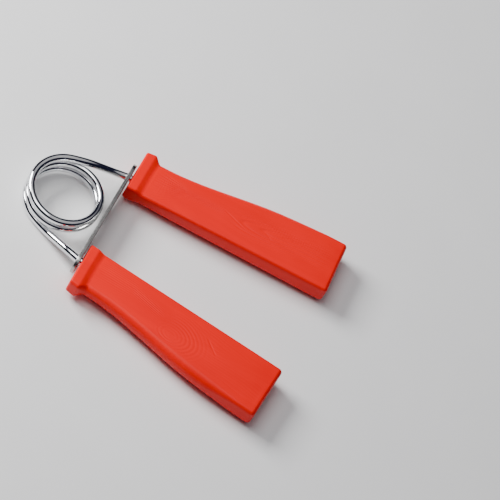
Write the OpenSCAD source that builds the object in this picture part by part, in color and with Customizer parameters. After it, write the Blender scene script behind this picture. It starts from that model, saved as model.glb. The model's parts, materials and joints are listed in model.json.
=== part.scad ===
// Hand grip strengthener: two moulded handles on the legs of one torsion spring,
// held at rest by a slotted stop plate.
// Lies flat: the coil's axis is Z, the handles point along +X, the palm handle is on the +Y side.
// Origin: on the coil's axis, half way through its thickness. Millimetres.

/* [Spring wire] */
// Wire diameter
wire_d = 3.3; // [2.8:0.1:3.8]
// Mean radius of the coil
coil_r = 15.0; // [12:0.1:18]
// Height gained in one turn, more than the wire diameter
pitch = 4.2; // [3.6:0.05:5]
// Angle at which a leg leaves the coil, measured from the handle direction
leave_deg = 24; // [15:0.5:35]
// Slope of a leg where its last bend starts
bend_deg = 12.5; // [8:0.5:20]
// Radius of that last bend
bend_r = 6; // [4:0.5:12]
// Length over which a leg starts to fall towards the middle plane
ease_in = 12; // [8:0.5:14]
// Length of wire inside each handle
tang_len = 62; // [40:1:80]
// Sides of the swept wire
wire_sides = 16; // [12,16,20]

/* [Handles] */
// X of the flange's inner edge
flange_x = 20.2; // [18:0.1:24]
// Half the gap between the handles at the flanges
gap_half = 16.4; // [12:0.1:20]
// Splay of each handle from the centre line, degrees
splay = 3.5; // [0:0.1:10]
// Handle length
grip_len = 93.4; // [80:0.2:110]
// Width of the flange across the handle
flange_w = 21.0; // [18:0.1:28]
// Length of the flange along the handle
flange_t = 4.2; // [2:0.1:6]
// Depth of the flange
flange_d = 8.6; // [6:0.1:14]
// Depth of the handle behind the flange
neck_d = 6.8; // [6:0.1:14]
// Depth of the handle at its free end
end_d = 9.1; // [6:0.1:16]
// Width at a handle's waist
waist_w = 19.2; // [14:0.1:24]
// Width of its swell at the free end
swell_w = 26.2; // [20:0.1:32]
// Distance of the wire's centre line from a handle's inner face
wire_v = 7.45; // [5:0.05:12]
// Clearance of the wire in its handle's hole, on the radius
bore_gap = 0.05; // [0.02:0.01:0.1]

/* [Stop plate] */
// Length of the plate
plate_len = 60.0; // [50:0.2:70]
// Width of the plate
plate_w = 10; // [8:0.2:14]
// Thickness of the plate
plate_t = 1.6; // [1:0.1:2.5]
// X of the plate's face on the coil side
plate_x = 18.0; // [14:0.1:20]
// Width of its slots
slot_w = 4.7; // [3.9:0.1:5.5]
// Inner end of each slot, from the centre line
slot_in = 17.0; // [12:0.1:20]
// Room between the wire and the slot's outer end
slot_gap = 0.2; // [0.1:0.05:1]

/* [Hidden] */
$fn = 96;
wire_r = wire_d / 2;
// Turn angles, counted anticlockwise from +X; the palm leg runs into the front turn
turn_start = 90 + leave_deg;
turn_end = 270 - leave_deg + 720;
turn_all = turn_end - turn_start;
coil_h = pitch * turn_all / 360;
segments = 5;
seg_deg = turn_all / segments;
seg_gap = 0.12;
slot_out = (gap_half + (plate_x + plate_t / 2 - flange_x) * tan(splay) + wire_v / cos(splay)) + wire_r + slot_gap;

plastic = [0.90, 0.16, 0.09];
steel = [0.80, 0.81, 0.83];
zinc = [0.62, 0.62, 0.62];

function helix_z(a) = coil_h / 2 - pitch * (a - turn_start) / 360;
function helix(a) = [coil_r * cos(a), coil_r * sin(a), helix_z(a)];
function smooth(t) = let(c = min(1, max(0, t))) c * c * (3 - 2 * c);

// Last straight run of the palm leg: through wire_end along the handle's own direction
wire_end = [flange_x - wire_v * sin(splay), gap_half + wire_v * cos(splay)];
bend_out = wire_end - 0.7 * [cos(splay), sin(splay)];
bend_in = bend_out - 2 * bend_r * sin((bend_deg - splay) / 2)
    * [cos((bend_deg + splay) / 2), sin((bend_deg + splay) / 2)];
turn_in = bend_in - 0.4 * [cos(bend_deg), sin(bend_deg)];
// From the coil the leg runs straight, then eases to the bend's slope over the last stretch
leave_pt = [-coil_r * sin(leave_deg), coil_r * cos(leave_deg)];
ease_out = 2 * (coil_r - turn_in[1] * cos(leave_deg) + turn_in[0] * sin(leave_deg))
    / (cos(leave_deg) * (tan(leave_deg) - tan(bend_deg)));
mid_x = turn_in[0] - ease_out;
mid_y = turn_in[1] - (tan(leave_deg) + tan(bend_deg)) / 2 * ease_out;
fall = (coil_h / 2) / (mid_x - leave_pt[0] - ease_in / 2 + ease_out / 2);
function leg_y(x) = x < mid_x ? leave_pt[1] + (x - leave_pt[0]) * tan(leave_deg)
    : mid_y + tan(leave_deg) * (x - mid_x) - (tan(leave_deg) - tan(bend_deg)) * pow(x - mid_x, 2) / (2 * ease_out);
function leg_z(x) = let(s = x - leave_pt[0], e = max(0, x - mid_x))
    coil_h / 2 - fall * (s < ease_in ? s * s / (2 * ease_in) : s - ease_in / 2) + fall * e * e / (2 * ease_out);
bend_c = bend_out + bend_r * [sin(splay), -cos(splay)];
function bend_pt(t) = let(a = bend_deg + (splay - bend_deg) * t) bend_c + bend_r * [-sin(a), cos(a)];
leg_steps = 22;
bend_steps = 4;
function leg_path() = concat(
    [for (i = [0:leg_steps]) let(x = leave_pt[0] + (turn_in[0] - leave_pt[0]) * i / leg_steps) [x, leg_y(x), leg_z(x)]],
    [for (i = [0:bend_steps]) concat(bend_pt(i / bend_steps), [0])],
    [for (k = [1:8]) concat(bend_out + (0.7 + tang_len) * k / 8 * [cos(splay), sin(splay)], [0])]);

function unit(v) = v / norm(v);
function tang(p, i) = unit(p[min(i + 1, len(p) - 1)] - p[max(i - 1, 0)]);
// Ring of points round a path; the frame's second axis is kept near Z
function ring(c, t, r, n) = let(s = unit(cross([0, 0, 1], t)), w = cross(t, s))
    [for (k = [0:n - 1]) c + r * (cos(360 * k / n) * s + sin(360 * k / n) * w)];

module sweep(path, t0, t1, r, n) {
    m = len(path);
    pts = [for (i = [0:m - 1]) each ring(path[i], i == 0 ? t0 : i == m - 1 ? t1 : tang(path, i), r, n)];
    sides = [for (i = [0:m - 2], k = [0:n - 1]) let(j = (k + 1) % n)
        [i * n + k, i * n + j, (i + 1) * n + j, (i + 1) * n + k]];
    caps = [[for (k = [n - 1:-1:0]) k], [for (k = [0:n - 1]) (m - 1) * n + k]];
    polyhedron(points = pts, faces = concat([for (f = sides) [f[3], f[2], f[1], f[0]]],
        [[for (k = [0:n - 1]) n - 1 - caps[0][k]]], [[for (k = [0:n - 1]) caps[1][n - 1 - k]]]), convexity = 6);
}

module coil_segment(i) {
    a0 = turn_start + i * seg_deg + (i == 0 ? 0 : seg_gap / 2);
    a1 = turn_start + (i + 1) * seg_deg - (i == segments - 1 ? 0 : seg_gap / 2);
    m = 24;
    path = [for (k = [0:m]) helix(a0 + (a1 - a0) * k / m)];
    dz = -pitch / 360 * 180 / PI / coil_r;
    sweep(path, unit([-sin(a0), cos(a0), dz]), unit([-sin(a1), cos(a1), dz]), wire_r, wire_sides);
}

// Palm side leg: from the coil, through the plate's slot, into the handle
module leg() {
    path = leg_path();
    skip = [for (i = [0:len(path) - 1]) path[i] + (i == 0 ? 0.10 * [cos(leave_deg), sin(leave_deg), 0] : [0, 0, 0])];
    sweep(skip, [cos(leave_deg), sin(leave_deg), 0], [cos(splay), sin(splay), 0], wire_r, wire_sides);
}

// Both handles are the same moulding, drawn along +X from its flange face, inner face on v = 0, outside towards +v
module place_palm() { translate([flange_x, gap_half, 0]) rotate([0, 0, splay]) children(); }
module place_finger() { rotate([180, 0, 0]) place_palm() children(); }

module pill(x0, y0, x1, y1, r) {
    for (x = [x0 + r, x1 - r], y = [y0 + r, y1 - r]) translate([x, y]) circle(r);
    translate([x0 + r, y0]) square([x1 - x0 - 2 * r, y1 - y0]);
    translate([x0, y0 + r]) square([x1 - x0, y1 - y0 - 2 * r]);
}

// Outline seen from the front: waist behind the flange, swell at the free end
function width_at(u) = waist_w + (swell_w - waist_w) * smooth((u - 12) / 60);
module outline() {
    n = 24;
    u0 = flange_t + 1;
    polygon(concat([[u0 - 2, 0]], [[grip_len - 1.6, 0]], [[grip_len, 1.6]], [[grip_len, swell_w - 1.8]],
        [[grip_len - 1.8, swell_w]],
        [for (i = [0:n]) let(u = (grip_len - 4) + (u0 + 2 - grip_len + 4) * i / n) [u, width_at(u)]],
        [[u0 - 2, width_at(u0) + 0.6]]));
}
// The flange's faces lie square to the centre line between the handles, parallel to the stop plate
module flange_band() {
    lean = (flange_w + 2) * tan(splay);
    start = -2 * tan(splay);
    polygon([[start, -2], [start + flange_t, -2], [lean + flange_t, flange_w + 2], [lean, flange_w + 2]]);
}
// Outline seen from the inner side: thin behind the flange, deeper towards the free end
module depth_profile() {
    polygon([[flange_t - 1, -neck_d / 2], [flange_t + 4, -neck_d / 2], [grip_len - 1.4, -end_d / 2],
        [grip_len, -end_d / 2 + 1.4], [grip_len, end_d / 2 - 1.4], [grip_len - 1.4, end_d / 2],
        [flange_t + 4, neck_d / 2], [flange_t - 1, neck_d / 2]]);
}
module bore() {
    translate([-1, wire_v, 0]) rotate([0, 90, 0]) cylinder(r = wire_r + bore_gap, h = tang_len + 1.4);
}
module grip_body() {
    difference() {
        union() {
            intersection() {
                translate([0, 0, -10]) linear_extrude(20) outline();
                translate([0, 40, 0]) rotate([90, 0, 0]) linear_extrude(50) depth_profile();
            }
            intersection() {
                translate([-1, 0, 0]) rotate([90, 0, 90]) linear_extrude(flange_t + 4)
                    pill(0, -flange_d / 2, flange_w, flange_d / 2, 1.6);
                translate([0, 0, -10]) linear_extrude(20) flange_band();
            }
        }
        bore();
    }
}

module palm_grip() { color(plastic) place_palm() grip_body(); }
module finger_grip() { color(plastic) place_finger() grip_body(); }
module palm_leg() { color(steel) leg(); }
module finger_leg() { color(steel) rotate([180, 0, 0]) leg(); }
module coil_1() { color(steel) coil_segment(0); }
module coil_2() { color(steel) coil_segment(1); }
module coil_3() { color(steel) coil_segment(2); }
module coil_4() { color(steel) coil_segment(3); }
module coil_5() { color(steel) coil_segment(4); }
module stop_plate() {
    color(zinc) translate([plate_x, 0, 0]) rotate([90, 0, 90]) linear_extrude(plate_t) difference() {
        union() {
            for (s = [-1, 1]) translate([s * (plate_len - plate_w) / 2, 0]) circle(plate_w / 2);
            translate([-(plate_len - plate_w) / 2, -plate_w / 2]) square([plate_len - plate_w, plate_w]);
        }
        for (s = [0, 1]) mirror([s, 0]) {
            translate([slot_in, -slot_w / 2]) square([slot_out - slot_w / 2 - slot_in, slot_w]);
            translate([slot_out - slot_w / 2, 0]) circle(slot_w / 2);
        }
    }
}

palm_grip();
palm_leg();
coil_1();
coil_2();
coil_3();
coil_4();
coil_5();
finger_leg();
finger_grip();
stop_plate();
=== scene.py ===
import json
import math

import bpy
import numpy as np
from mathutils import Matrix, Vector


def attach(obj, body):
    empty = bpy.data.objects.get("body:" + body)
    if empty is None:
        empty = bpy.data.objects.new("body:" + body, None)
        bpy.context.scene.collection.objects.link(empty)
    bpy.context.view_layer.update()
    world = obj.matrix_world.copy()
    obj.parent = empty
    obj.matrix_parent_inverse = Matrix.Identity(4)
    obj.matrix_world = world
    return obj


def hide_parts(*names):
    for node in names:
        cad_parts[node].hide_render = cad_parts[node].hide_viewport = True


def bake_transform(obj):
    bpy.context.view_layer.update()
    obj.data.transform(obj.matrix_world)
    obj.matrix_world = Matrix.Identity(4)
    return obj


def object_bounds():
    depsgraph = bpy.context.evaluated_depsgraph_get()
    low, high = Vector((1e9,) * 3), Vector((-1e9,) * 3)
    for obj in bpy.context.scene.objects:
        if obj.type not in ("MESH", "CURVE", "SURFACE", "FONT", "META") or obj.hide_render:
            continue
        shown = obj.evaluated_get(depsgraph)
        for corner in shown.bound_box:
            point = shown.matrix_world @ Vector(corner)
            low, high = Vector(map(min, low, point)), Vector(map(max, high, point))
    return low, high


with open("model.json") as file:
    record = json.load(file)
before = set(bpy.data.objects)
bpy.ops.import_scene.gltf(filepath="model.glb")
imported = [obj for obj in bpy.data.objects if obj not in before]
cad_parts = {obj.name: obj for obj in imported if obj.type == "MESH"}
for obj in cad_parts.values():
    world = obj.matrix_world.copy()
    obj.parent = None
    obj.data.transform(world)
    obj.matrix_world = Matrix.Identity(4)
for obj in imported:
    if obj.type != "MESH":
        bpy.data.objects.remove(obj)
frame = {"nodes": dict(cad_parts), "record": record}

CAD_LO, CAD_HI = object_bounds()
MM = 0.001
SCENE = bpy.context.scene


# ---------------------------------------------------------------- sizes read from the CAD frame
def verts_mm(node):
    me = frame["nodes"][node].data
    co = np.zeros(len(me.vertices) * 3, np.float32)
    me.vertices.foreach_get("co", co)
    return co.reshape(-1, 3).astype(float) * 1000


pad = next(m for m in frame["record"]["mounts"] if m["name"] == "palm_pad")
SPLAY = math.asin(pad["axis"][0])
U_AX = np.array([math.cos(SPLAY), math.sin(SPLAY)])
V_AX = np.array([-math.sin(SPLAY), math.cos(SPLAY)])
grip = verts_mm("palm_grip")
gu, gv = grip[:, :2] @ U_AX, grip[:, :2] @ V_AX
GRIP_U0, GRIP_V0 = gu.min(), gv.min()
GRIP_L = gu.max() - gu.min()
SWELL_W = gv.max() - gv.min()
END_H = grip[:, 2].max()
flange = grip[gu < GRIP_U0 + 3.4]
FLANGE_W = (flange[:, :2] @ V_AX).max() - GRIP_V0
FLANGE_H = flange[:, 2].max()
leg = verts_mm("palm_leg")
lu, lv = leg[:, :2] @ U_AX, leg[:, :2] @ V_AX
tail = lu > lu.max() - 0.5
WIRE_R = (lv[tail].max() - lv[tail].min()) / 2
WIRE_V = (lv[tail].max() + lv[tail].min()) / 2 - GRIP_V0
TAIL_U = lu.max() - GRIP_U0
turns = np.concatenate([verts_mm(f"coil_{i}") for i in range(1, 6)])
COIL_R = np.hypot(turns[:, 0], turns[:, 1]).max() - WIRE_R
COIL_H = turns[:, 2].max() - turns[:, 2].min() - 2 * WIRE_R
plate = verts_mm("stop_plate")
PLATE_LO, PLATE_HI = plate.min(0), plate.max(0)

# Angle at which the legs leave the coil
LEAVE = math.radians(24.0)
TURN_A = math.pi / 2 + LEAVE
TURN_B = math.pi * 1.5 - LEAVE + 4 * math.pi
PITCH = COIL_H / ((TURN_B - TURN_A) / (2 * math.pi))


def smooth(t):
    t = np.clip(t, 0, 1)
    return t * t * (3 - 2 * t)


# ---------------------------------------------------------------- mesh helpers
def make_object(name, verts, faces, smooth_shade=True):
    me = bpy.data.meshes.new(name)
    me.from_pydata([tuple(float(c) * MM for c in v) for v in verts], [], faces)
    me.validate(verbose=False)
    me.update()
    if smooth_shade:
        me.polygons.foreach_set("use_smooth", [True] * len(me.polygons))
    ob = bpy.data.objects.new(name, me)
    SCENE.collection.objects.link(ob)
    return ob


def quads(rings, n, closed_ends=True, flip=False):
    faces = []
    for i in range(rings - 1):
        for k in range(n):
            j = (k + 1) % n
            f = (i * n + k, i * n + j, (i + 1) * n + j, (i + 1) * n + k)
            faces.append(f[::-1] if flip else f)
    return faces


def hash_noise(x, y, seed):
    """Smooth value noise on a grid, from sines, the same at every run."""
    def corner(i, j):
        h = np.sin(i * 127.1 + j * 311.7 + seed * 74.7) * 43758.5453
        return h - np.floor(h)
    ix, iy = np.floor(x), np.floor(y)
    fx, fy = smooth(x - ix), smooth(y - iy)
    a, b = corner(ix, iy), corner(ix + 1, iy)
    c, d = corner(ix, iy + 1), corner(ix + 1, iy + 1)
    return (a * (1 - fx) + b * fx) * (1 - fy) + (c * (1 - fx) + d * fx) * fy - 0.5


# ---------------------------------------------------------------- handles
LEAN = math.tan(SPLAY)


def width_at(u):
    return 19.2 + (SWELL_W - 19.2) * smooth((u - 12) / 60)


def lean_at(u):
    """How far the sections follow the flange, whose faces lie square to the stop plate."""
    return LEAN * (1 - smooth((u - 4.2) / 9.0))


def outer_at(u):
    """Outer extreme of a section: the flange flares a little, then falls to the waist."""
    body = width_at(u)
    rim = FLANGE_W - 0.1 + 0.13 * np.minimum(u, 4.4)
    t = smooth((u - 3.7) / 4.6)
    return rim * (1 - t) + body * t


NECK_H = FLANGE_H - 1.0
COVE_A, COVE_B = 3.55, 7.6


def half_depth_at(u):
    """Flat flange, a ramp with rounded ends falling to the neck, then a slow swell to the free end."""
    body = NECK_H + (END_H - NECK_H) * np.clip((u - COVE_B) / (GRIP_L - 7 - COVE_B), 0, 1) ** 0.8
    t = np.clip((u - COVE_A) / (COVE_B - COVE_A), 0, 1)
    a, b = 0.24, 0.40
    k = 1 / (1 - a / 2 - b / 2)
    fall = np.where(t < a, k * t * t / (2 * a), np.where(t < 1 - b, k * (t - a / 2), 1 - k * (1 - t) ** 2 / (2 * b)))
    return np.where(u < COVE_B, FLANGE_H - (FLANGE_H - NECK_H) * fall, body)


def bump_at(x, a, b, soft):
    return smooth((x - a) / soft) * smooth((b - x) / soft)


def stroke(u, v, p, q, width):
    """A straight scratch from p to q."""
    d = np.array(q) - np.array(p)
    n2 = float(d @ d)
    t = np.clip(((u - p[0]) * d[0] + (v - p[1]) * d[1]) / n2, 0, 1)
    r = np.hypot(u - p[0] - t * d[0], v - p[1] - t * d[1])
    return np.clip(1 - r / width, 0, 1) * np.clip(4 * np.minimum(t, 1 - t) + 0.15, 0, 1)


def lines(phase, sharp):
    return (0.5 + 0.5 * np.cos(2 * math.pi * phase)) ** sharp


def grain_palm(u, v):
    """Moulded wood figure: a fan behind the flange, a narrow eye, long arches towards the free end."""
    warp = hash_noise(u * 0.06 + 3.1, v * 0.16, 4) * 1.6 + hash_noise(u * 0.16, v * 0.4 + 7, 8) * 0.5
    vc = 11.4 + 3.8 * smooth((u - 42) / 46)
    spread = 0.62 + 0.66 * smooth((25 - u) / 15) + 0.4 * smooth((u - 36) / 12)
    fan = lines((v - vc + warp * 0.5) / spread, 3)
    fan_on = bump_at(u, 7, 44, 7) * np.exp(-((v - vc) / (2.2 + 6.5 * smooth((27 - u) / 14))) ** 2)
    side = np.where(v > vc, 1.0, 1.5)
    arch = np.sqrt(((v - vc + warp * 0.25) / side) ** 2 + (np.maximum(68 - u, 0) / 8.0) ** 2)
    arches = lines(arch / 1.15, 4)
    arch_on = bump_at(u, 43, 92, 7) * np.exp(-(np.maximum(arch - 2.4, 0) / 2.4) ** 2)
    long_v = v - 0.075 * u + warp * 1.3
    plain = lines(long_v / 1.5, 6) * 0.38 * smooth(hash_noise(u * 0.05, v * 0.2, 31) * 2.4 + 0.3)
    groove = 1.35 * fan * fan_on + 1.3 * arches * arch_on + plain * (1 - np.clip(fan_on + arch_on, 0, 1))
    cuts = stroke(u, v, (40.1, 12.9), (52.5, 8.2), 0.30) + 0.8 * stroke(u, v, (60.3, 11.7), (63.5, 9.5), 0.34)
    return groove, cuts


def grain_finger(u, v):
    """The same idea with another figure: fine parallel lines, an eye, arcs about a knot."""
    warp = hash_noise(u * 0.06 + 9.1, v * 0.16, 14) * 1.6 + hash_noise(u * 0.16, v * 0.4 + 2, 18) * 0.5
    fine = lines((v + 0.035 * u + warp * 0.45) / 0.95, 3)
    fine_on = bump_at(u, 7, 27, 5) * np.exp(-((v - 6.5) / 5.5) ** 2) * 0.75
    vc = 3.2 + 0.17 * u
    eye = lines(np.hypot((v - vc) / 0.85, np.maximum(u - 40, 0) / 6 + np.maximum(25 - u, 0) / 5), 3)
    eye_on = bump_at(u, 21, 43, 6) * np.exp(-((v - vc) / 2.3) ** 2)
    ring = np.hypot((u - 47) / 1.55, v - 15.5 + warp * 0.35)
    knot = lines(ring / 1.2, 4)
    knot_on = 0.8 * np.exp(-((ring - 6.0) / 4.6) ** 2) * bump_at(u, 38, 72, 6)
    long_v = v - 0.06 * u + warp * 1.3
    plain = lines(long_v / 1.4, 6) * 0.38 * smooth(hash_noise(u * 0.05, v * 0.2, 37) * 2.4 + 0.3)
    on = np.clip(fine_on + eye_on + knot_on, 0, 1)
    groove = fine * fine_on + eye * eye_on + knot * knot_on * (1 - eye_on) + plain * (1 - on)
    cuts = stroke(u, v, (60.7, 7.7), (67.4, 12.9), 0.34)
    return groove, cuts


def section(v0, v1, h, ri, ro, crown, n_in=14, n_arc_i=12, n_face=116, n_arc_o=20, n_out=6):
    """One closed section: inner face, front corner, front face, outer round, back of the same."""
    ri = max(min(ri, h - 0.02), 0.08)
    ro = max(min(ro, h - 0.02), 0.08)
    pts, tags = [], []
    # inner face, from back to front
    for k in range(n_in):
        t = k / n_in
        z = -(h - ri) + 2 * (h - ri) * t
        pts.append((v0 - crown * 0.35 * (1 - (z / h) ** 2), z)); tags.append(0)
    for k in range(n_arc_i):
        a = math.pi - (math.pi / 2) * (k / n_arc_i)
        pts.append((v0 + ri + ri * math.cos(a), h - ri + ri * math.sin(a))); tags.append(0)
    a0, a1 = v0 + ri, v1 - ro
    for k in range(n_face):
        t = k / n_face
        pts.append((a0 + (a1 - a0) * t, h + crown * (1 - (2 * t - 1) ** 2))); tags.append(1)
    for k in range(n_arc_o):
        a = math.pi / 2 - (math.pi / 2) * (k / n_arc_o)
        pts.append((v1 - ro + ro * math.cos(a), h - ro + ro * math.sin(a))); tags.append(0)
    for k in range(n_out):
        t = k / n_out
        pts.append((v1, (h - ro) - 2 * (h - ro) * t)); tags.append(0)
    for k in range(n_arc_o):
        a = -(math.pi / 2) * (k / n_arc_o)
        pts.append((v1 - ro + ro * math.cos(a), -(h - ro) + ro * math.sin(a))); tags.append(0)
    for k in range(n_face):
        t = k / n_face
        pts.append((a1 + (a0 - a1) * t, -h - crown * (1 - (2 * t - 1) ** 2))); tags.append(-1)
    for k in range(n_arc_i):
        a = -math.pi / 2 - (math.pi / 2) * (k / n_arc_i)
        pts.append((v0 + ri + ri * math.cos(a), -(h - ri) + ri * math.sin(a))); tags.append(0)
    return np.array(pts), np.array(tags)


def build_handle(name, side, seed):
    """side +1: palm handle, -1: finger handle, which is the same one turned over about X."""
    re0, re1 = 0.85, 1.7
    stations = [(re0 * (1 - math.cos(math.pi / 2 * k / 8)), re0 * (1 - math.sin(math.pi / 2 * k / 8))) for k in range(9)]
    u = re0
    while u < GRIP_L - re1 - 0.3:
        u += 0.16 if u < 9 else 0.34
        stations.append((u, 0.0))
    stations[-1] = (GRIP_L - re1, 0.0)
    for k in range(1, 11):
        a = math.pi / 2 * k / 10
        stations.append((GRIP_L - re1 + re1 * math.sin(a), re1 * (1 - math.cos(a))))
    figure = grain_palm if side > 0 else grain_finger
    rings = []
    for u, d in stations:
        h = float(half_depth_at(np.array(u)))
        v1 = float(outer_at(np.array(u)))
        t = float(smooth(np.array((u - 4.0) / 4.6)))
        # the outer round is widest at mid length and tightens towards the free end
        full = (h - 0.55) * (1 - 0.56 * float(smooth(np.array((u - 64) / 24))))
        ro = 1.5 * (1 - t) + full * t
        ri = 1.25 + 0.25 * t
        crown = 0.08 + 0.20 * t * float(smooth(np.array((GRIP_L + 2 - u) / 12)))
        p, tags = section(d, v1 - d, h - d, ri - d, ro - d, max(crown - d * 0.1, 0.0))
        groove, cuts = figure(np.full(len(p), u), p[:, 0])
        edge = np.clip(np.minimum(p[:, 0] - 1.7, v1 - 3.3 - p[:, 0]) / 1.2, 0, 1)
        body = float(smooth(np.array((u - 7.2) / 1.5))) * float(smooth(np.array((GRIP_L - 2.2 - u) / 1.5)))
        p[:, 1] -= tags * (0.105 * groove + 0.150 * cuts) * edge * body
        # a faint tool-mark waviness over the whole moulding
        wob = hash_noise(np.full(len(p), u * 0.10), p[:, 0] * 0.12, seed + 21) * 0.10
        p[:, 1] += tags * wob * edge * body
        rings.append((u, p))
    n = len(rings[0][1])
    verts, faces = [], []
    hole_r = WIRE_R + 0.06
    centre = np.array([WIRE_V, 0.0])
    # bore, flange face, outside, end face
    first_loop = rings[0][1]
    d = first_loop - centre
    ang = np.arctan2(d[:, 1], d[:, 0])
    circle = centre + hole_r * np.c_[np.cos(ang), np.sin(ang)]
    seq = []
    depth = TAIL_U + 0.8
    for s in (1.0, 0.5, 0.12):
        seq.append((depth * s, circle))
    seq.append((0.35, circle))
    chamfer = centre + (hole_r + 0.3) * np.c_[np.cos(ang), np.sin(ang)]
    seq.append((0.0, chamfer))
    for t in (0.25, 0.6):
        seq.append((0.0, chamfer * (1 - t) + first_loop * t))
    seq += rings
    last = rings[-1][1]
    mid = np.array([(last[:, 0].min() + last[:, 0].max()) / 2, 0.0])
    for t in (0.35, 0.7, 0.93):
        seq.append((GRIP_L, last * (1 - t) + mid * t))
    for u, p in seq:
        lean = float(lean_at(np.array(u)))
        for v, z in p:
            xy = (GRIP_U0 + u + lean * v) * U_AX + (GRIP_V0 + v) * V_AX
            verts.append((xy[0], side * xy[1], side * z))
    m = len(seq)
    faces = quads(m, n, flip=False)
    # close the bore's bottom and the end face
    xy = (GRIP_U0 + depth) * U_AX + (GRIP_V0 + WIRE_V) * V_AX
    verts.append((xy[0], side * xy[1], 0.0)); b = len(verts) - 1
    xy = (GRIP_U0 + GRIP_L) * U_AX + (GRIP_V0 + mid[0]) * V_AX
    verts.append((xy[0], side * xy[1], 0.0)); e = len(verts) - 1
    for k in range(n):
        j = (k + 1) % n
        faces.append((j, k, b))
        faces.append(((m - 1) * n + k, (m - 1) * n + j, e))
    ob = make_object(name, verts, faces)
    fix_normals(ob)
    return ob


def fix_normals(ob):
    import bmesh
    bm = bmesh.new()
    bm.from_mesh(ob.data)
    bmesh.ops.recalc_face_normals(bm, faces=bm.faces)
    for e in bm.edges:
        if len(e.link_faces) == 2 and e.calc_face_angle(0.0) > 0.62:
            e.smooth = False
    bm.to_mesh(ob.data)
    bm.free()
    ob.data.update()


# ---------------------------------------------------------------- spring wire
def sweep(name, path, t0, t1, radius, n=36, cap0=True, cap1=True, radii=None):
    path = np.array(path, float)
    m = len(path)
    verts = []
    for i in range(m):
        t = t0 if i == 0 else t1 if i == m - 1 else path[i + 1] - path[i - 1]
        t = np.array(t, float); t /= np.linalg.norm(t)
        s = np.cross([0, 0, 1.0], t); s /= np.linalg.norm(s)
        w = np.cross(t, s)
        r = radius if radii is None else radii[i]
        for k in range(n):
            a = 2 * math.pi * k / n
            verts.append(tuple(path[i] + r * (math.cos(a) * s + math.sin(a) * w)))
    faces = quads(m, n)
    if cap0:
        faces.append(tuple(range(n - 1, -1, -1)))
    if cap1:
        faces.append(tuple((m - 1) * n + k for k in range(n)))
    ob = make_object(name, verts, faces)
    fix_normals(ob)
    return ob


BEND = math.radians(12.5)
BEND_R = 6.0
EASE_IN = 12.0
LEG_OUT = 0.7
wire_xy = GRIP_U0 * U_AX + (GRIP_V0 + WIRE_V) * V_AX
bend_out = wire_xy - LEG_OUT * U_AX
mean = (BEND + SPLAY) / 2
bend_in = bend_out - 2 * BEND_R * math.sin((BEND - SPLAY) / 2) * np.array([math.cos(mean), math.sin(mean)])
turn_in = bend_in - 0.4 * np.array([math.cos(BEND), math.sin(BEND)])
leave = np.array([-COIL_R * math.sin(LEAVE), COIL_R * math.cos(LEAVE)])
TAN0, TAN1 = math.tan(LEAVE), math.tan(BEND)
EASE_OUT = (COIL_R - turn_in[1] * math.cos(LEAVE) + turn_in[0] * math.sin(LEAVE)) * 2 / (math.cos(LEAVE) * (TAN0 - TAN1))
MID_X = turn_in[0] - EASE_OUT
MID_Y = turn_in[1] - (TAN0 + TAN1) / 2 * EASE_OUT
FALL = (COIL_H / 2) / (MID_X - leave[0] - EASE_IN / 2 + EASE_OUT / 2)
SLOPE = PITCH / (2 * math.pi * COIL_R)


def leg_path():
    """Straight off the coil, easing down to the middle plane, then a small bend into the handle."""
    pts = []
    steps = 90
    for i in range(steps + 1):
        x = leave[0] + (turn_in[0] - leave[0]) * i / steps
        s, e = x - leave[0], max(0.0, x - MID_X)
        if x < MID_X:
            y = leave[1] + s * TAN0
        else:
            y = MID_Y + TAN0 * (x - MID_X) - (TAN0 - TAN1) * (x - MID_X) ** 2 / (2 * EASE_OUT)
        z = COIL_H / 2 - FALL * (s * s / (2 * EASE_IN) if s < EASE_IN else s - EASE_IN / 2) + FALL * e * e / (2 * EASE_OUT)
        # the wire still climbs as in the coil where it leaves it
        z += SLOPE * s * max(0.0, 1 - s / 5) ** 2
        pts.append((x, y, z))
    c = bend_out + BEND_R * np.array([math.sin(SPLAY), -math.cos(SPLAY)])
    for i in range(13):
        a = BEND + (SPLAY - BEND) * i / 12
        p = c + BEND_R * np.array([-math.sin(a), math.cos(a)])
        pts.append((p[0], p[1], 0.0))
    end = (TAIL_U + LEG_OUT) - 0.45
    for k in range(1, 31):
        p = bend_out + end * (k / 30) * U_AX
        pts.append((p[0], p[1], 0.0))
    return np.array(pts)


def build_leg(name, side):
    p = leg_path()
    t0 = np.array([math.cos(LEAVE), math.sin(LEAVE), SLOPE])
    t1 = np.array([U_AX[0], U_AX[1], 0.0])
    # chamfered cut end, inside the handle
    end = np.array([[*(p[-1][:2] + 0.45 * U_AX), 0.0]])
    p = np.vstack([p, end])
    radii = [WIRE_R] * (len(p) - 1) + [WIRE_R - 0.4]
    flip = np.array([1.0, side, side])
    return sweep(name, p * flip, t0 * flip, t1 * flip, WIRE_R, radii=radii)


def build_coil(name):
    steps = 430
    pts = []
    for i in range(steps + 1):
        a = TURN_A + (TURN_B - TURN_A) * i / steps
        pts.append((COIL_R * math.cos(a), COIL_R * math.sin(a), COIL_H / 2 - PITCH * (a - TURN_A) / (2 * math.pi)))
    def tan(a):
        return (-math.sin(a), math.cos(a), -SLOPE)
    return sweep(name, pts, tan(TURN_A), tan(TURN_B), WIRE_R)


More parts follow.
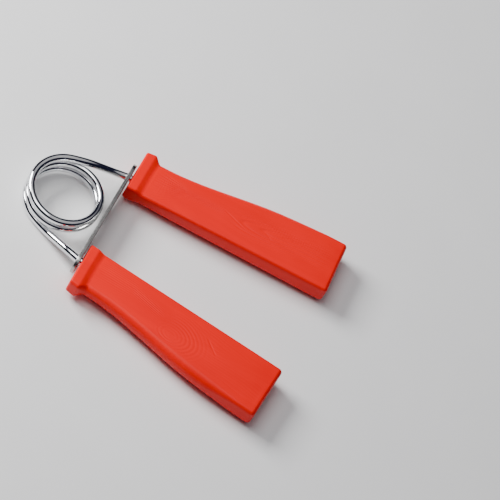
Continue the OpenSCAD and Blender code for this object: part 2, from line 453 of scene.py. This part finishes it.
# ---------------------------------------------------------------- stop plate
def build_plate(name):
    """Strip with round ends and two slots, edges broken by a small round."""
    t = PLATE_HI[0] - PLATE_LO[0]
    half_l, half_w = (PLATE_HI[1] - PLATE_LO[1]) / 2, (PLATE_HI[2] - PLATE_LO[2]) / 2
    # the slot's own points: everything on the +Y half that isn't on the plate's outline
    y, z = plate[:, 1], plate[:, 2]
    centre = half_l - half_w
    outline = np.where(y > centre, np.abs(np.hypot(y - centre, z) - half_w) < 0.15, np.abs(np.abs(z) - half_w) < 0.05)
    slot = plate[(y > 5) & ~outline]
    s_out, s_in, s_h = slot[:, 1].max(), slot[:, 1].min(), np.abs(slot[:, 2]).max()

    def stadium(y0, y1, h, r, n=28):
        pts = []
        for cy, cz, a0 in ((y1 - r, h - r, 0), (y0 + r, h - r, 90), (y0 + r, -h + r, 180), (y1 - r, -h + r, 270)):
            for k in range(n + 1):
                a = math.radians(a0 + 90 * k / n)
                pts.append((cy + r * math.cos(a), cz + r * math.sin(a)))
        return pts
    curve = bpy.data.curves.new(name, "CURVE")
    curve.dimensions = "2D"
    curve.fill_mode = "BOTH"
    bev = 0.22
    outer = stadium(-half_l + bev, half_l - bev, half_w - bev, half_w - bev - 0.02)
    loops = [outer]
    for s in (1, -1):
        y0, y1 = s_in - bev, s_out + bev
        loop = stadium(y0, y1, s_h + bev, s_h + bev)
        loops.append([(s * y, z) for y, z in loop])
    for loop in loops:
        clean = [loop[0]]
        for q in loop[1:]:
            if math.dist(q, clean[-1]) > 1e-4:
                clean.append(q)
        if math.dist(clean[0], clean[-1]) < 1e-4:
            clean.pop()
        sp = curve.splines.new("POLY")
        sp.points.add(len(clean) - 1)
        for i, (y, z) in enumerate(clean):
            sp.points[i].co = (y * MM, z * MM, 0, 1)
        sp.use_cyclic_u = True
    curve.extrude = (t / 2 - bev) * MM
    curve.bevel_depth = bev * MM
    curve.bevel_resolution = 3
    tmp = bpy.data.objects.new(name + "_tmp", curve)
    SCENE.collection.objects.link(tmp)
    dg = bpy.context.evaluated_depsgraph_get()
    me = bpy.data.meshes.new_from_object(tmp.evaluated_get(dg))
    bpy.data.objects.remove(tmp)
    import bmesh
    bm = bmesh.new()
    bm.from_mesh(me)
    bmesh.ops.remove_doubles(bm, verts=bm.verts, dist=1e-7)
    bmesh.ops.recalc_face_normals(bm, faces=bm.faces)
    # curve plane (x, y) becomes row (Y, Z)
    cx = (PLATE_LO[0] + PLATE_HI[0]) / 2
    for v in bm.verts:
        x, y, z = v.co
        v.co = (cx * MM + z, x, y)
    for f in bm.faces:
        f.smooth = abs(f.normal.z) < 0.999 or f.calc_area() < 1e-6
    bm.to_mesh(me)
    bm.free()
    me.name = name
    ob = bpy.data.objects.new(name, me)
    SCENE.collection.objects.link(ob)
    fix_normals(ob)
    for p in ob.data.polygons:
        p.use_smooth = abs(p.normal.x) < 0.99
    return ob


# ---------------------------------------------------------------- materials
class Mat:
    def __init__(self, name):
        self.m = bpy.data.materials.new(name)
        self.m.use_nodes = True
        self.nt = self.m.node_tree
        self.nt.nodes.clear()
        self.out = self.nt.nodes.new("ShaderNodeOutputMaterial")
        self.bsdf = self.nt.nodes.new("ShaderNodeBsdfPrincipled")
        self.nt.links.new(self.bsdf.outputs["BSDF"], self.out.inputs["Surface"])

    def node(self, kind, **kw):
        n = self.nt.nodes.new(kind)
        for k, v in kw.items():
            if k in n.inputs:
                n.inputs[k].default_value = v
            else:
                setattr(n, k, v)
        return n

    def link(self, a, b):
        self.nt.links.new(a, b)

    def coords(self, scale=(1000, 1000, 1000), rot=(0, 0, 0)):
        tc = self.node("ShaderNodeTexCoord")
        mp = self.node("ShaderNodeMapping")
        mp.inputs["Scale"].default_value = scale
        mp.inputs["Rotation"].default_value = rot
        self.link(tc.outputs["Object"], mp.inputs["Vector"])
        return mp.outputs["Vector"]

    def noise(self, vec, scale, detail=3.0, rough=0.5, distort=0.0):
        n = self.node("ShaderNodeTexNoise")
        n.inputs["Scale"].default_value = scale
        n.inputs["Detail"].default_value = detail
        n.inputs["Roughness"].default_value = rough
        n.inputs["Distortion"].default_value = distort
        self.link(vec, n.inputs["Vector"])
        return n.outputs["Fac"]

    def ramp(self, fac, lo, hi, a=0.0, b=1.0):
        r = self.node("ShaderNodeMapRange")
        r.inputs["From Min"].default_value = lo
        r.inputs["From Max"].default_value = hi
        r.inputs["To Min"].default_value = a
        r.inputs["To Max"].default_value = b
        self.link(fac, r.inputs["Value"])
        return r.outputs["Result"]

    def math(self, op, a, b=None, c=None):
        n = self.node("ShaderNodeMath", operation=op)
        for i, x in enumerate((a, b, c)):
            if x is None:
                continue
            if isinstance(x, (int, float)):
                n.inputs[i].default_value = x
            else:
                self.link(x, n.inputs[i])
        return n.outputs[0]

    def mix(self, fac, a, b):
        n = self.node("ShaderNodeMix", data_type="RGBA")
        if isinstance(fac, (int, float)):
            n.inputs["Factor"].default_value = fac
        else:
            self.link(fac, n.inputs["Factor"])
        for i, x in ((6, a), (7, b)):
            if isinstance(x, tuple):
                n.inputs[i].default_value = (*x, 1)
            else:
                self.link(x, n.inputs[i])
        return n.outputs[2]

    def bump(self, height, strength, distance, normal=None):
        b = self.node("ShaderNodeBump")
        b.inputs["Strength"].default_value = strength
        b.inputs["Distance"].default_value = distance
        self.link(height, b.inputs["Height"])
        if normal is not None:
            self.link(normal, b.inputs["Normal"])
        return b.outputs["Normal"]


def plastic(name, turn):
    m = Mat(name)
    c = m.coords(rot=(0, 0, turn))
    # grain drawn out along the handle
    long = m.coords(scale=(120, 1000, 1000), rot=(0, 0, turn))
    warp = m.noise(long, 0.16, 4, 0.55, 0.6)
    fine = m.noise(long, 1.9, 5, 0.6, 0.3)
    big = m.noise(c, 0.035, 2, 0.5)
    speck = m.noise(c, 3.2, 3, 0.6)
    tone = m.math("ADD", m.math("MULTIPLY", warp, 0.55), m.math("MULTIPLY", big, 0.45))
    col = m.mix(m.ramp(tone, 0.38, 0.62), (0.80, 0.0012, 0.0005), (0.87, 0.0022, 0.0009))
    col = m.mix(m.ramp(fine, 0.55, 0.80, 0, 0.22), col, (0.90, 0.0040, 0.0016))
    m.link(col, m.bsdf.inputs["Base Color"])
    rough = m.math("ADD", m.ramp(fine, 0.3, 0.75, 0.30, 0.40), m.ramp(speck, 0.3, 0.7, -0.02, 0.03))
    m.link(rough, m.bsdf.inputs["Roughness"])
    n1 = m.bump(fine, 0.30, 0.00006)
    n2 = m.bump(speck, 0.22, 0.00003, n1)
    m.link(n2, m.bsdf.inputs["Normal"])
    m.bsdf.inputs["IOR"].default_value = 1.47
    m.bsdf.inputs["Specular IOR Level"].default_value = 0.18
    return m.m


def chrome(name):
    m = Mat(name)
    c = m.coords()
    haze = m.noise(c, 0.22, 3, 0.55)
    grit = m.noise(c, 4.5, 4, 0.65)
    col = m.mix(m.ramp(haze, 0.35, 0.65), (0.76, 0.77, 0.79), (0.85, 0.855, 0.87))
    m.link(col, m.bsdf.inputs["Base Color"])
    m.bsdf.inputs["Metallic"].default_value = 1.0
    rough = m.math("ADD", m.ramp(haze, 0.3, 0.7, 0.05, 0.09), m.ramp(grit, 0.35, 0.75, 0.0, 0.04))
    m.link(rough, m.bsdf.inputs["Roughness"])
    m.link(m.bump(grit, 0.12, 0.00002), m.bsdf.inputs["Normal"])
    return m.m


def zinc(name):
    m = Mat(name)
    c = m.coords()
    brushed = m.coords(scale=(1000, 60, 1000))
    haze = m.noise(c, 0.16, 4, 0.6)
    lines = m.noise(brushed, 3.0, 4, 0.6)
    pits = m.noise(c, 2.6, 3, 0.6)
    col = m.mix(m.ramp(haze, 0.3, 0.7), (0.37, 0.365, 0.35), (0.49, 0.485, 0.47))
    m.link(col, m.bsdf.inputs["Base Color"])
    m.bsdf.inputs["Metallic"].default_value = 1.0
    rough = m.math("ADD", m.ramp(lines, 0.3, 0.7, 0.20, 0.32), m.ramp(haze, 0.3, 0.7, -0.03, 0.05))
    m.link(rough, m.bsdf.inputs["Roughness"])
    n1 = m.bump(lines, 0.25, 0.00004)
    m.link(m.bump(pits, 0.15, 0.00003, n1), m.bsdf.inputs["Normal"])
    return m.m


def assign(ob, mat):
    ob.data.materials.clear()
    ob.data.materials.append(mat)


# ---------------------------------------------------------------- build the pieces
palm = build_handle("palm_handle", 1, 1)
finger = build_handle("finger_handle", -1, 2)
leg_a = build_leg("spring_palm_leg", 1)
leg_b = build_leg("spring_finger_leg", -1)
coil = build_coil("spring_coil")
stop = build_plate("stop_plate_strip")

assign(palm, plastic("red_plastic_palm", -SPLAY))
assign(finger, plastic("red_plastic_finger", SPLAY))
wire = chrome("bright_wire")
for o in (leg_a, leg_b, coil):
    assign(o, wire)
assign(stop, zinc("satin_zinc"))

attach(palm, "palm_side")
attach(leg_a, "palm_side")
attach(finger, "finger_side")
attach(leg_b, "finger_side")
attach(stop, "plate")
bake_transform(coil)

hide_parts("palm_grip")
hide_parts("finger_grip")
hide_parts("palm_leg")
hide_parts("finger_leg")
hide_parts("coil_1", "coil_2", "coil_3", "coil_4", "coil_5")
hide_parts("stop_plate")

# The hidden CAD nodes carry the same finishes
for n, ob in frame["nodes"].items():
    if n == "palm_grip":
        mat = palm.data.materials[0]
    elif n == "finger_grip":
        mat = finger.data.materials[0]
    elif n == "stop_plate":
        mat = stop.data.materials[0]
    else:
        mat = wire
    for k in range(max(1, len(ob.material_slots))):
        if len(ob.material_slots) == 0:
            ob.data.materials.append(mat)
        else:
            ob.material_slots[k].material = mat

# ---------------------------------------------------------------- floor
FLOOR_Z = CAD_LO.z - 0.00002
n = 24
fv, ff = [], []
size = 1.6
for i in range(n + 1):
    for j in range(n + 1):
        x, y = (i / n - 0.5) * 2 * size, (j / n - 0.5) * 2 * size
        fv.append(((x + 0.05) * 1000, y * 1000, FLOOR_Z * 1000))
for i in range(n):
    for j in range(n):
        a = i * (n + 1) + j
        ff.append((a, a + n + 1, a + n + 2, a + 1))
floor = make_object("floor", fv, ff)
fm = Mat("pale_floor")
fc = fm.coords(scale=(10, 10, 10))
fm.link(fm.mix(fm.ramp(fm.noise(fc, 3.0, 4), 0.3, 0.7), (0.85, 0.85, 0.85), (0.87, 0.87, 0.87)), fm.bsdf.inputs["Base Color"])
fm.bsdf.inputs["Roughness"].default_value = 0.75
fm.bsdf.inputs["Specular IOR Level"].default_value = 0.15
assign(floor, fm.m)

# ---------------------------------------------------------------- light
# A soft studio: pale overhead, a dark band low down for the bright wire to mirror.
world = bpy.data.worlds.new("studio")
SCENE.world = world
world.use_nodes = True
wn = world.node_tree
wn.nodes.clear()
wo = wn.nodes.new("ShaderNodeOutputWorld")
bg = wn.nodes.new("ShaderNodeBackground")
tc = wn.nodes.new("ShaderNodeTexCoord")
sep = wn.nodes.new("ShaderNodeSeparateXYZ")
half = wn.nodes.new("ShaderNodeMapRange")
half.inputs["From Min"].default_value = -1.0
half.inputs["From Max"].default_value = 1.0
wn.links.new(tc.outputs["Generated"], sep.inputs["Vector"])
wn.links.new(sep.outputs["Z"], half.inputs["Value"])
cr = wn.nodes.new("ShaderNodeValToRGB")
cr.color_ramp.interpolation = "EASE"
stops = [(0.0, (0.15, 0.15, 0.15)), (0.48, (0.10, 0.10, 0.11)), (0.52, (0.002, 0.003, 0.010)),
         (0.86, (0.008, 0.009, 0.026)), (0.92, (0.46, 0.45, 0.47)), (1.0, (0.62, 0.62, 0.62))]
el = cr.color_ramp.elements
el[0].position, el[0].color = stops[0][0], (*stops[0][1], 1)
el[1].position, el[1].color = stops[-1][0], (*stops[-1][1], 1)
for p, c in stops[1:-1]:
    e = el.new(p)
    e.color = (*c, 1)
wn.links.new(half.outputs["Result"], cr.inputs["Fac"])
wn.links.new(cr.outputs["Color"], bg.inputs["Color"])
wn.links.new(bg.outputs["Background"], wo.inputs["Surface"])

TARGET = Vector((0.055, 0.0, 0.0))


def area(name, direction, dist, size, power, size_y=None, colour=(1, 1, 1)):
    d = Vector(direction).normalized()
    li = bpy.data.lights.new(name, "AREA")
    li.energy = power
    li.color = colour
    li.shape = "RECTANGLE"
    li.size = size
    li.size_y = size_y or size
    ob = bpy.data.objects.new(name, li)
    ob.location = TARGET + d * dist
    ob.rotation_mode = "QUATERNION"
    ob.rotation_quaternion = d.to_track_quat("Z", "Y")
    SCENE.collection.objects.link(ob)
    return ob


area("key", (-0.94, 0.18, 0.64), 0.75, 0.36, 9.4, 0.30)
area("top", (-0.34, -0.02, 1.0), 0.90, 0.50, 2.9)

# ---------------------------------------------------------------- camera
CAM_F = 4000.0
CAM_R = (2.4657079381261258, 0.6649686168841913, 0.23803701430203542)
CAM_T = (-76.15530166161867, -22.571596190095256, 1639.2627813490897)
ax = Vector(CAM_R)
R = Matrix.Rotation(ax.length, 3, ax.normalized())
loc = -(R.transposed() @ Vector(CAM_T)) * MM
rot = R.transposed() @ Matrix(((1, 0, 0), (0, -1, 0), (0, 0, -1)))
cam_data = bpy.data.cameras.new("camera")
cam = bpy.data.objects.new("camera", cam_data)
cam.matrix_world = Matrix.Translation(loc) @ rot.to_4x4()
cam_data.sensor_width = 36.0
cam_data.lens = CAM_F / 500.0 * 36.0
cam_data.clip_start, cam_data.clip_end = 0.05, 20.0
SCENE.collection.objects.link(cam)
SCENE.camera = cam
